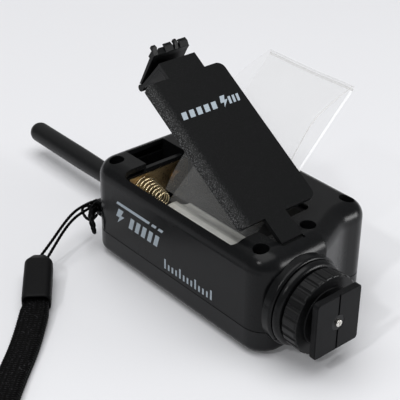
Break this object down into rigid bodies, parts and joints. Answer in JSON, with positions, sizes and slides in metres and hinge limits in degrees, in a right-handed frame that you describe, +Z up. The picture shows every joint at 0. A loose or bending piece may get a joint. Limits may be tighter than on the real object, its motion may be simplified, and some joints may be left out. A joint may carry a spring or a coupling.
{
  "type": "wireless flash trigger",
  "caption": "Pocket radio trigger unit with hinged battery door, stub antenna, hot-shoe foot with locking ring, and a wrist strap.",
  "frame": {"origin": "centre of the object's bounding box, without its strap cords, on the surface it lies on", "axes": "+X from the antenna tip to the hot-shoe foot, +Y from the strap's long side to the jack side, +Z up through the open battery door"},
  "size_m": [0.1968, 0.1503, 0.079],
  "materials": {
    "shell": "satin",
    "door": "satin",
    "panel": "satin",
    "tray": "satin",
    "foil": "satin",
    "spring_gold": "satin",
    "contact_plate": "satin",
    "film": "smooth",
    "steel": "satin",
    "shoe_black": "satin",
    "ring": "satin",
    "insulator": "satin",
    "nickel": "smooth",
    "board": "satin",
    "can": "satin",
    "led": "satin",
    "button": "satin",
    "control": "satin",
    "antenna": "satin",
    "cord": "satin",
    "ferrule": "satin"
  },
  "bodies": {
    "housing": {"rear_shell": "shell", "front_shell": "shell", "front_panel": "panel", "housing_screws": "steel", "battery_tray": "tray", "bay_label": "foil", "bridge_contact": "contact_plate", "contact_spring_near": "spring_gold", "contact_spring_far": "spring_gold", "positive_terminal": "contact_plate", "negative_terminal": "contact_plate", "lift_film": "film", "door_hinge_pin": "steel", "shoe_post": "shoe_black", "shoe_foot": "shoe_black", "contact_insulator": "insulator", "contact_spring": "nickel", "circuit_board": "board", "shield_can": "can", "jack_camera": "control", "jack_flash": "control", "status_led": "led", "test_switch": "control", "channel_switch": "control", "mode_switch": "control", "antenna_sleeve": "antenna", "antenna_core": "steel", "antenna_bush": "control", "strap_hitch": "cord", "strap_cord_upper": "cord", "strap_cord_lower": "cord", "strap_ferrule": "ferrule", "strap_webbing": "cord"},
    "door": {"battery_door": "door"},
    "latch": {"door_latch": "door"},
    "clamp": {"clamp_washer": "shoe_black"},
    "ring": {"locking_ring": "ring"},
    "shoe_pin": {"contact_pin": "nickel"},
    "button": {"test_button": "button"},
    "dial": {"channel_dial": "control"},
    "slider": {"mode_slider": "control"}
  },
  "joints": [
    {"name": "battery_door", "type": "hinge", "parent": "housing", "child": "door", "pos_m": [0.06615, -0.0152, 0.0345], "axis": [0, 1, 0], "range_deg": [-33, 29], "deforming": ["lift_film"]},
    {"name": "latch_squeeze", "type": "hinge", "parent": "door", "child": "latch", "pos_m": [-0.00217, -0.012, 0.06241], "axis": [0, 1, 0], "range_deg": [0, 8], "stiffness_Nm_per_rad": 0.1},
    {"name": "clamp_slide", "type": "slide", "parent": "housing", "child": "clamp", "axis": [1, 0, 0], "range_m": [0, 0.0015]},
    {"name": "ring_turn", "type": "hinge", "parent": "clamp", "child": "ring", "pos_m": [0.08035, -0.0165, 0.0183], "axis": [1, 0, 0], "range_deg": [0, 540]},
    {"name": "shoe_contact", "type": "slide", "parent": "housing", "child": "shoe_pin", "axis": [-1, 0, 0], "range_m": [0, 0.0007], "stiffness_N_per_m": 500, "deforming": ["contact_spring"]},
    {"name": "test_press", "type": "slide", "parent": "housing", "child": "button", "axis": [0, 0, 1], "range_m": [0, 0.0008], "stiffness_N_per_m": 800, "springref_m": -0.0004},
    {"name": "channel_turn", "type": "hinge", "parent": "housing", "child": "dial", "pos_m": [0.02695, -0.0053, 0.0025], "axis": [0, 0, 1], "range_deg": [0, 135]},
    {"name": "mode_slide", "type": "slide", "parent": "housing", "child": "slider", "axis": [1, 0, 0], "range_m": [-0.0025, 0.0025]}
  ],
  "couplings": [
    {"joint": "clamp_slide", "follows": "ring_turn", "m_per_rad": 0.00015915}
  ]
}
